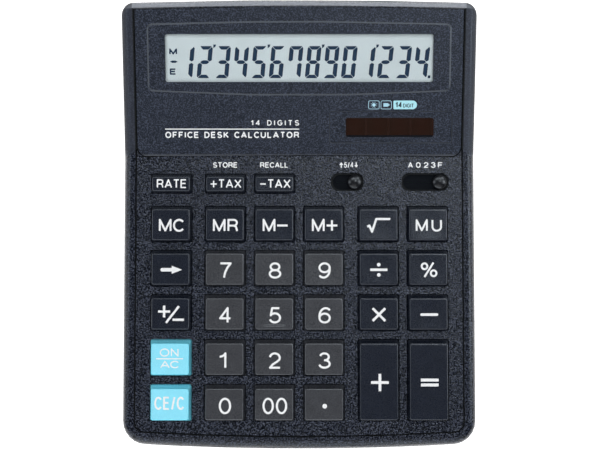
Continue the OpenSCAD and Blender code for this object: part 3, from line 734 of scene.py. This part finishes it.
def shifted(shapes, x, v):
    return [[(p[0] + x, p[1] + v) for p in shape] for shape in shapes]


def percent():
    ring = [(-1.95, 1.5), (1.95, -1.5)]
    shapes = [piece for x, v in ring for piece in pen(oval(x, v, 1.2, 1.25), 0.85)]
    return shapes + pen([(-2.0, -3.1), (1.9, 3.1)], 0.85)


def arrow():
    shaft = pen([(-3.9, 0), (0.6, 0)], 1.5, True)
    return shaft + [[(0.2, 1.75), (0.2, -1.75), (4.7, 0)]]


def divide():
    return [bar((-3.7, 0), (3.7, 0), 1.1), disc(0, 2.2, 0.8, 16), disc(0, -2.2, 0.8, 16)]


def plus_minus():
    shapes = [bar((-5.5, 1.3), (-0.4, 1.3), 1.0), bar((-2.95, 3.85), (-2.95, -1.2), 1.0)]
    return shapes + pen([(-2.1, -3.5), (3.4, 3.6)], 0.95) + [bar((0.7, -2.2), (5.6, -2.2), 1.0)]


def on_ac():
    shapes = word("O", 3.5, 4.1, 0.14, (-2.13, 2.25)) + word("N", 3.5, 3.3, 0.14, (2.2, 2.25))
    shapes += word("A", 3.2, 4.1, 0.15, (-1.93, -2.85)) + word("C", 3.2, 3.7, 0.15, (2.13, -2.85))
    return shapes + [bar((-5.8, -0.4), (5.8, -0.4), 0.5)]


def root():
    return pen([(-4.9, -0.6), (-4.0, -0.1), (-2.85, -2.7), (-1.0, 2.75), (5.0, 2.75)], 0.95)


CENTRED_LEGENDS = ("key_sqrt", "key_divide", "key_multiply")
# Shapes of each key's legend, round the middle of its top
LEGENDS = {
    "key_rate": word("RATE", 3.9, 12.9, 0.15),
    "key_tax_plus": word("+TAX", 3.9, 13.6, 0.15),
    "key_tax_minus": word("-TAX", 3.9, 13.4, 0.15),
    "key_mc": word("MC", 5.6, 10.8, 0.148),
    "key_mr": word("MR", 5.6, 10.9, 0.148),
    "key_m_minus": word("M", 5.7, 5.5, 0.148, (-2.6, 0)) + [bar((0.9, -0.05), (5.4, -0.05), 0.9)],
    "key_m_plus": word("M", 5.7, 5.5, 0.148, (-2.7, 0)) + [
        bar((0.9, -0.05), (5.5, -0.05), 0.9),
        bar((3.2, 2.2), (3.2, -2.3), 0.9),
    ],
    "key_sqrt": root(),
    "key_mu": word("MU", 5.4, 11.3, 0.148),
    "key_backspace": arrow(),
    "key_divide": divide(),
    "key_percent": percent(),
    "key_sign": plus_minus(),
    "key_multiply": [bar((-2.7, -2.7), (2.7, 2.7), 1.05), bar((-2.7, 2.7), (2.7, -2.7), 1.05)],
    "key_minus": pen([(-3.3, 0), (3.3, 0)], 1.15, True),
    "key_plus": [bar((-3.8, 0), (3.8, 0), 1.2), bar((0, 3.7), (0, -3.7), 1.2)],
    "key_equals": [bar((-3.8, 1.05), (3.8, 1.05), 1.25), bar((-3.8, -1.05), (3.8, -1.05), 1.25)],
    "key_on_ac": on_ac(),
    "key_ce_c": word("CE/C", 5.6, 12.8, 0.14),
    "key_decimal": [disc(0, -0.1, 1.0, 20)],
    "key_1": word("1", 7.0, 3.4, 0.128, (-1.1, 0)),
    "key_00": word("0", 7.0, 4.85, 0.128, (-2.85, 0)) + word("0", 7.0, 4.85, 0.128, (2.85, 0)),
}
for figure in "023456789":
    LEGENDS["key_" + figure] = word(figure, 7.0, 5.3, 0.128)


# ---------------------------------------------------------------- keys

LIP = 0.9
LIP_TOP = -2.1
LIP_BOTTOM = -2.9
SIDE_DRAFT = 0.66
FRONT_DRAFT = 0.57
REAR_DRAFT = 1.4
ROUND = 0.5
DISH = 0.14
CORNER = 0.9                # radius of a cap's upright corners
LIP_CORNER = 0.3
SKIRT = 0.2                 # where the drafted part starts
SHORT_KEY = 10              # a cap less deep than this is short
# How far a legend stands to the right of the middle of its key's top, and behind it
SHORT_SHIFT = (0.3, 0.1)
LONG_SHIFT = (0.3, -0.3)
SLOT_SHIFTS = {"key_digit": (0.3, -0.6), "key_clear": (-0.2, 0.55)}


class Key:
    """A keycap with drafted sides, a rounded crown and a shallow dished top."""

    def __init__(self, name):
        (left, right), (front, rear), (_, top) = deck.reach(name)
        self.name = name
        self.x = (left + right) / 2
        self.half_w = (right - left) / 2 - LIP
        self.front = front + LIP
        self.rear = rear - LIP
        self.top = top
        self.flat_w = self.half_w - SIDE_DRAFT - ROUND
        self.flat_front = self.front + FRONT_DRAFT + ROUND
        self.flat_rear = self.rear - REAR_DRAFT - ROUND
        self.middle = (self.flat_front + self.flat_rear) / 2

    def crown(self, x, v):
        """Height of the dished top."""
        half_l = (self.flat_rear - self.flat_front) / 2
        across = min(abs((x - self.x) / self.flat_w), 1)
        along = min(abs((v - self.middle) / half_l), 1)
        return self.top - DISH * (1 - across ** 2) * (1 - along ** 2)

    def level(self, w, side, front, rear, radius):
        """Outline at height w, that much inside the key's foot."""
        ring = rounded_ring(self.half_w - side, self.front + front, self.rear - rear, radius)
        return [deck.at(self.x + x, v, w) for x, v in ring]

    def build(self):
        """The cap, in place of the CAD's key."""
        rings = [
            self.level(LIP_BOTTOM, -LIP, -LIP, -LIP, LIP_CORNER),
            self.level(LIP_TOP, -LIP, -LIP, -LIP, LIP_CORNER),
            self.level(LIP_TOP, 0, 0, 0, CORNER),
            self.level(SKIRT, 0, 0, 0, CORNER),
        ]
        shoulder = self.top - ROUND
        for share in (0.35, 0.7, 1.0):
            w = SKIRT + (shoulder - SKIRT) * share
            drafts = (SIDE_DRAFT * share, FRONT_DRAFT * share, REAR_DRAFT * share)
            rings.append(self.level(w, *drafts, CORNER))
        for turn in (22.5, 45, 67.5, 90):
            inset = ROUND * (1 - math.cos(math.radians(turn)))
            w = shoulder + ROUND * math.sin(math.radians(turn))
            rings.append(self.level(
                w, SIDE_DRAFT + inset, FRONT_DRAFT + inset, REAR_DRAFT + inset, CORNER - inset))
        flat = rounded_ring(self.flat_w, self.flat_front, self.flat_rear, CORNER - ROUND)
        for share in (0.95, 0.86, 0.74, 0.6, 0.45, 0.3, 0.15, 0.04):
            ring = []
            for x, v in flat:
                spot = (self.x + x * share, self.middle + (v - self.middle) * share)
                ring.append(deck.at(*spot, self.crown(*spot)))
            rings.append(ring)
        points, faces = skin(rings)
        slot = SLOTS[self.name]
        body = BODY_OF[self.name]
        cap = add_piece(self.name + "_top", points, faces, MATERIALS[slot], body)
        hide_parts(self.name)

    def mark(self):
        """The printed legend."""
        usual = SHORT_SHIFT if self.rear - self.front < SHORT_KEY else LONG_SHIFT
        across, shift = SLOT_SHIFTS.get(SLOTS[self.name], usual)
        if self.name in CENTRED_LEGENDS:
            across = 0.0
        shapes = shifted(LEGENDS[self.name], self.x + across, self.middle + shift)
        decal(
            self.name + "_legend", shapes, lambda x, v, w: deck.at(x, v, self.crown(x, v) + w),
            INK_WHITE, BODY_OF[self.name],
        )


def add_guide_bar(key):
    """The raised bar that fingers find on the middle key."""
    half, wide, tall, sunk = 5.1, 0.55, 0.3, 0.06
    v = key.flat_front + 1.3
    rings = []
    for step in range(13):
        along = -1 + step / 6
        swell = math.sqrt(max(1 - along ** 8, 0.0004))
        x = key.x + half * along
        base = key.crown(x, v) - sunk
        ring = []
        for turn in range(0, 181, 30):
            a = math.radians(turn)
            up = (tall + sunk) * swell * math.sin(a)
            ring.append(deck.at(x, v + wide * swell * math.cos(a), base + up))
        rings.append(ring)
    points, faces = skin(rings)
    add_piece("key_5_guide_bar", points, faces, MATERIALS["key_digit"], BODY_OF["key_5"])


# ---------------------------------------------------------------- rubber keypad

SHEET_TOP = -4.7
SHEET_BOTTOM = -5.5
DOME_TOP = -2.96
DOME_RADIUS = 4.4
SMALL_DOME = 3.4            # radius of the foot under a short key
SHORT_NODE = 12             # a CAD key less deep than this is short
# Share of the radius and share of the height, from the sheet up
DOME_PROFILE = ((1.0, 0.0), (0.93, 0.2), (0.72, 0.5), (0.58, 0.62), (0.55, 0.7), (0.55, 0.94), (0.51, 1.0))
BOSS_HOLES = [(-43.65, -20.6), (-43.65, -58.4), (-43.65, -97), (22.4, -58.4), (22.4, -97)]
NOTCH_X = 22.4              # the boss that stands on the sheet's short rear edge
BOSS_ROOM = 2.1             # radius of the sheet's holes
SHEET_SHORT = 95.4          # depth of the sheet on its right side
SHEET_STEP_X = 1.5          # where the deeper left side ends


def add_keypad_sheet():
    """The rubber sheet on the board, with holes for the screw bosses."""
    (left, right), (front, rear), _ = deck.reach("rubber_keypad")
    shoulder = front + SHEET_SHORT
    turns = [math.radians(t) for t in range(0, 360, 20)]
    bite = [math.radians(-t) for t in range(0, 181, 20)]
    notch = [(NOTCH_X + BOSS_ROOM * math.cos(t), shoulder + BOSS_ROOM * math.sin(t)) for t in bite]
    corner = [(SHEET_STEP_X, shoulder), (SHEET_STEP_X, rear), (left, rear)]
    loops = [[(left, front), (right, front), (right, shoulder), *notch, *corner]]
    for x, v in BOSS_HOLES:
        loops.append([(x + BOSS_ROOM * math.cos(t), v + BOSS_ROOM * math.sin(t)) for t in turns])
    work = bmesh.new()
    for loop in loops:
        spots = [work.verts.new(deck.at(x, v, SHEET_TOP)) for x, v in loop]
        for start, end in zip(spots, spots[1:] + spots[:1]):
            work.edges.new((start, end))
    bmesh.ops.triangle_fill(work, use_beauty=True, edges=work.edges[:])
    made = bmesh.ops.extrude_face_region(work, geom=work.faces[:])
    lower = [item for item in made["geom"] if isinstance(item, bmesh.types.BMVert)]
    bmesh.ops.translate(work, vec=deck.out * (SHEET_BOTTOM - SHEET_TOP) * MM, verts=lower)
    work.verts.index_update()
    points = [tuple(spot.co) for spot in work.verts]
    faces = [[spot.index for spot in face.verts] for face in work.faces]
    work.free()
    sheet = add_piece("keypad_sheet", points, faces, MATERIALS["keypad_rubber"], "case")
    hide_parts("rubber_keypad")


def add_dome(node):
    """The dome under one key, which on the real keypad buckles as the key goes down; here it stays fixed to
    the case.
    """
    (left, right), (front, rear), _ = deck.reach(node)
    x, v = (left + right) / 2, (front + rear) / 2
    wide = SMALL_DOME if rear - front < SHORT_NODE else DOME_RADIUS
    rings = []
    for share, rise in DOME_PROFILE:
        radius = share * (wide if share > 0.6 else DOME_RADIUS)
        w = SHEET_TOP + (DOME_TOP - SHEET_TOP) * rise
        turns = [math.radians(t) for t in range(0, 360, 15)]
        rings.append([deck.at(x + radius * math.cos(t), v + radius * math.sin(t), w) for t in turns])
    points, faces = skin(rings)
    name = node.replace("key_", "keypad_dome_")
    dome = add_piece(name, points, faces, MATERIALS["keypad_rubber"], "case")
    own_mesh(dome)


# ---------------------------------------------------------------- print on the case


def print_on(name, shapes, slope, height, material):
    decal(name, shapes, lambda x, v, w: slope.at(x, v, height + w), material, "case")


def small_arrow(x, v, way):
    tip, tail = v + 1.25 * way, v - 1.25 * way
    barb = tip - 1.2 * way
    return [bar((x, tail), (x, tip - 0.6 * way), 0.45), [(x - 0.85, barb), (x + 0.85, barb), (x, tip)]]


def add_deck_print():
    """The words over two keys and the scales of the two selectors."""
    v = -3.96
    rounding = small_arrow(18.3, v, 1) + small_arrow(24.8, v, -1)
    rounding += word("5/4", 2.4, 4.2, 0.16, (21.55, v))
    decimals = []
    for letter, x in zip("A023F", (48.4, 51.8, 55.2, 58.3, 61.4)):
        decimals += word(letter, 2.5, 2.1, 0.18, (x, v))
    prints = {
        "print_store": word("STORE", 2.4, 10.7, 0.18, (-32.2, v)),
        "print_recall": word("RECALL", 2.4, 12.2, 0.18, (-10.9, v)),
        "print_rounding": rounding,
        "print_decimals": decimals,
    }
    for name, shapes in prints.items():
        print_on(name, shapes, deck, 0, INK_WHITE)


def frame_shape(x, v, half_w, half_l, thick):
    """The outline of a rounded rectangle, drawn with a pen."""
    corners = rounded_ring(half_w, -half_l, half_l, 0.6, 4, 1)
    points = [(x + a, v + b) for a, b in corners]
    return pen(points + [points[0]], thick)


def add_panel_print():
    """The rule between two lines of words, and the three icons over the solar cell."""
    v = 22.1
    sun = frame_shape(32.2, v, 2.3, 1.75, 0.22) + [disc(32.2, v, 0.75, 16)]
    for turn in range(0, 360, 45):
        a = math.radians(turn + 22.5)
        c, s = math.cos(a), math.sin(a)
        sun.append(bar((32.2 + 0.95 * c, v + 0.95 * s), (32.2 + 1.35 * c, v + 1.35 * s), 0.25))
    cell = frame_shape(37.5, v, 2.25, 1.75, 0.22)
    cell += [bar((36.3, v), (38.4, v), 1.5), bar((38.4, v), (38.9, v), 0.7)]

    left, right, half_l, corner = 40.6, 50.8, 1.85, 0.4
    inner, outer, low, high = left + corner, right - half_l, v - half_l, v + half_l
    pill = [[(inner, low), (outer, low), (outer, high), (inner, high)]]
    pill += [bar((left, v), (left + 1, v), 2 * half_l - 2 * corner), disc(outer, v, half_l, 28)]
    pill += [disc(inner, v + side * (half_l - corner), corner) for side in (-1, 1)]
    pill_text = word("14", 2.5, 2.9, 0.2, (42.9, v)) + word("DIGIT", 1.7, 4.6, 0.16, (47.1, v - 0.3))

    prints = (
        ("print_rule", [bar((-58, 11.7), (0, 11.7), 0.42)], INK_WHITE, 0),
        ("print_words", word("OFFICE DESK CALCULATOR", 2.75, 58, 0.2, (-29, 9.2)), INK_WHITE, 0),
        ("print_digits", word("14 DIGITS", 2.4, 21, 0.18, (-10.5, 14.4)), INK_WHITE, 0),
        ("print_sun", sun, INK_ICON, 0),
        ("print_cell", cell, INK_ICON, 0),
        ("print_pill", pill, INK_BLUE, 0),
        ("print_pill_text", pill_text, INK_DARK, 0.03),
    )
    for name, shapes, material, lift in prints:
        print_on(name, shapes, display, PANEL_RISE + lift, material)


# ---------------------------------------------------------------- display figures

DIGITS = "12345678901234"
COMMA_PLACES = (1, 4, 7, 10)
FIRST_DIGIT_X = -48.5
DIGIT_PITCH = 7.78
DIGIT_HALF = 2.85
LCD_V = 33.5
LCD_H = 14.2
LCD_SQUASH = 0.96
LCD_SLANT = math.tan(math.radians(5.6))
SEGMENTS = {
    "a": [(0.45, 14.2), (5.35, 14.2), (4.75, 13.3), (4.0, 12.65), (1.8, 12.65), (1.05, 13.3)],
    "b": [(4.0, 8.05), (4.95, 7.4), (5.85, 7.95), (5.85, 13.2), (5.45, 13.85), (4.0, 12.4)],
    "c": [(4.0, 6.15), (4.95, 6.8), (5.85, 6.25), (5.85, 1.0), (5.45, 0.35), (4.0, 1.8)],
    "d": [(0.45, 0.0), (5.35, 0.0), (4.75, 0.9), (4.0, 1.55), (1.8, 1.55), (1.05, 0.9)],
    "e": [(1.8, 6.15), (0.85, 6.8), (-0.05, 6.25), (-0.05, 1.0), (0.35, 0.35), (1.8, 1.8)],
    "f": [(1.8, 8.05), (0.85, 7.4), (-0.05, 7.95), (-0.05, 13.2), (0.35, 13.85), (1.8, 12.4)],
    "g": [
        (0.95, 7.1), (1.6, 7.75), (2.3, 7.95), (3.5, 7.95), (4.2, 7.75),
        (4.85, 7.1), (4.2, 6.45), (3.5, 6.25), (2.3, 6.25), (1.6, 6.45),
    ],
}
FIGURES = {
    "0": "abcdef", "1": "bc", "2": "abged", "3": "abgcd", "4": "fgbc",
    "5": "afgcd", "6": "afgecd", "7": "fabc", "8": "abcdefg", "9": "abcdfg",
}


def slanted(points, x):
    """Leans points round the middle of the display's digit height."""
    return [(x + px + (pv - LCD_H / 2) * LCD_SLANT, LCD_V + pv * LCD_SQUASH) for px, pv in points]


def add_display_figures():
    """The digits, three more signs at the left, and the point after the last digit."""
    shapes = []
    for place, figure in enumerate(DIGITS):
        left = FIRST_DIGIT_X + DIGIT_PITCH * place - DIGIT_HALF
        for segment in FIGURES[figure]:
            shapes.append(slanted(SEGMENTS[segment], left))
        if place in COMMA_PLACES:
            shapes.append(slanted([(5.9, 14.9), (7.1, 14.9), (6.9, 13.9), (6.1, 13.2)], left))
    shapes.append(slanted([(6.3, 0.0), (7.4, 0.0), (7.4, 1.2), (6.3, 1.2)], left))
    shapes += word("M", 2.7, 3.4, 0.25, (-54.2, 44.8))
    shapes += word("E", 2.7, 2.8, 0.25, (-54.4, 36.3))
    shapes.append([(-55.7, 40.5), (-54.6, 41.0), (-53.3, 41.0), (-52.2, 40.5), (-53.3, 40.0), (-54.6, 40.0)])
    print_on("lcd_figures", shapes, display, LCD_TOP + 0.01, INK_NAVY)


# ---------------------------------------------------------------- slits and a painted shadow

SELECTOR_V = -11.4
SELECTOR_PITCH = 3.15
SELECTOR_STEPS = {"rounding_slider": 2, "decimal_slider": 4}
SLIT_LEVELS = (-2.2, -2.12)


def add_slot_lips(name):
    """Thin black strips under the slot of a selector knob, one on each side of its slit, which make the slot
    look dark.
    """
    (left, right), _, _ = deck.reach(name)
    knob_x = (left + right) / 2
    low = knob_x - SELECTOR_PITCH * SELECTOR_STEPS[name] - SELECTOR_PITCH
    high = knob_x + SELECTOR_PITCH
    strip = rounded_ring((high - low) / 2, 0.03, 3.2, 0.6, 5, 2)
    for side, label in ((-1, "front"), (1, "rear")):
        rings = []
        for w in SLIT_LEVELS:
            rings.append([deck.at((low + high) / 2 + x, SELECTOR_V + side * v, w) for x, v in strip])
        points, faces = skin(rings)
        add_piece(f"{name}_lip_{label}", points, faces, MATERIALS["foam"], "case")


def add_solar_front_shadow():
    """A dark strip along the front of the solar window: a painted shadow of the window's front wall."""
    shadow_strip = [bar((20.6, 8.62), (57.9, 8.62), 0.75)]
    print_on("solar_front_shadow", shadow_strip, display, -0.08, MATERIALS["foam"])


# ---------------------------------------------------------------- the scene

add_camera()
add_surroundings()

for node in nodes:
    dress(node)
for node, width in (
    ("top_case", 0.3), ("bottom_case", 0.3), ("battery_cover", 0.2), ("rounding_slider", 0.25),
    ("decimal_slider", 0.25), ("lcd_holder", 0.2), ("main_pcb", 0.1), ("case_screws", 0.1),
):
    soften(node, width)
soften("display_panel", 0.22, 20)
soften("rubber_feet", 0.3, gap=2e-5)

for node in [n for n in nodes if n in LEGENDS]:
    key = Key(node)
    key.build()
    key.mark()
    add_dome(node)
    if node == "key_5":
        add_guide_bar(key)

add_keypad_sheet()
add_deck_print()
add_panel_print()
add_display_figures()
for node in SELECTOR_STEPS:
    add_slot_lips(node)
add_solar_front_shadow()
